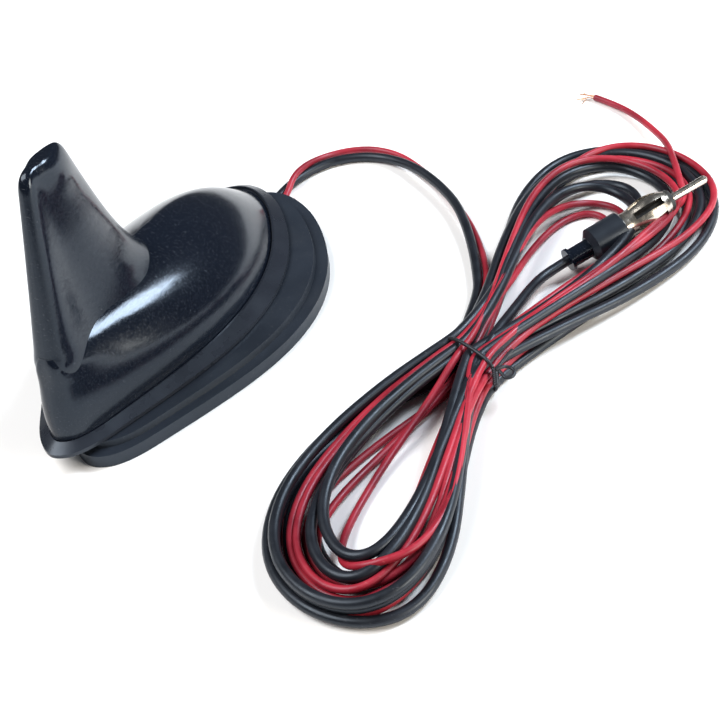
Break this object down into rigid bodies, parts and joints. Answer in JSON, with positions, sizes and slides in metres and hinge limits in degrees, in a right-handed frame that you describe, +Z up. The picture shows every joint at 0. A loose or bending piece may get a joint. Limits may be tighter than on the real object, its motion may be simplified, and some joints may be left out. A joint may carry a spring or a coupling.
{
  "type": "vehicle roof antenna",
  "caption": "Amplified shark-fin roof antenna with loose rubber pad, tied hank of coax and red power wire, and an antenna plug.",
  "frame": {"origin": "bottom centre of the head and its pad, on the surface that they stand on", "axes": "+X towards the round end of the head, where the leads come out; +Z up through the fin; the hank lies on the -Y side"},
  "size_m": [0.2417, 0.1798, 0.082],
  "materials": {
    "cover_black": "high gloss",
    "skirt_black": "satin",
    "tray_black": "fine texture",
    "seal_rubber": "matt",
    "plate_metal": "satin",
    "screw_steel": "zinc plated",
    "board_green": "solder mask",
    "spacer_brass": "turned",
    "can_tin": "tinned",
    "chip_black": "matt",
    "coil_copper": "enamelled wire",
    "gland_black": "satin",
    "pad_rubber": "matt, dusty",
    "coax_black": "smooth sheath",
    "power_red": "smooth sheath",
    "strand_copper": "bare strands",
    "tie_grey": "satin",
    "plug_nickel": "nickel plated",
    "boot_black": "satin",
    "insulator_grey": "satin"
  },
  "bodies": {
    "antenna": {"fin_cover": "cover_black", "base_skirt": "skirt_black", "base_tray": "tray_black", "seal_ring": "seal_rubber", "ground_plate": "plate_metal", "cover_screws": "screw_steel", "circuit_board": "board_green", "board_spacers": "spacer_brass", "board_screws": "screw_steel", "amplifier_can": "can_tin", "amplifier_chip": "chip_black", "filter_coil": "coil_copper", "element_board": "board_green", "contact_clips": "spacer_brass", "cable_gland": "gland_black", "coax_lead": "coax_black", "power_lead": "power_red", "lead_hank": "coax_black", "coax_tail": "coax_black", "power_tail": "power_red", "copper_strands": "strand_copper", "twist_tie": "tie_grey", "plug_collar": "plug_nickel", "plug_boot": "boot_black", "plug_shell": "plug_nickel", "plug_insulator": "insulator_grey", "plug_pin": "plug_nickel"},
    "pad": {"base_pad": "pad_rubber"}
  },
  "joints": [
    {"name": "pad_slide", "type": "slide", "parent": "antenna", "child": "pad", "axis": [-0.4008, 0.9162, 0], "range_m": [-0.001, 0.0087]}
  ]
}
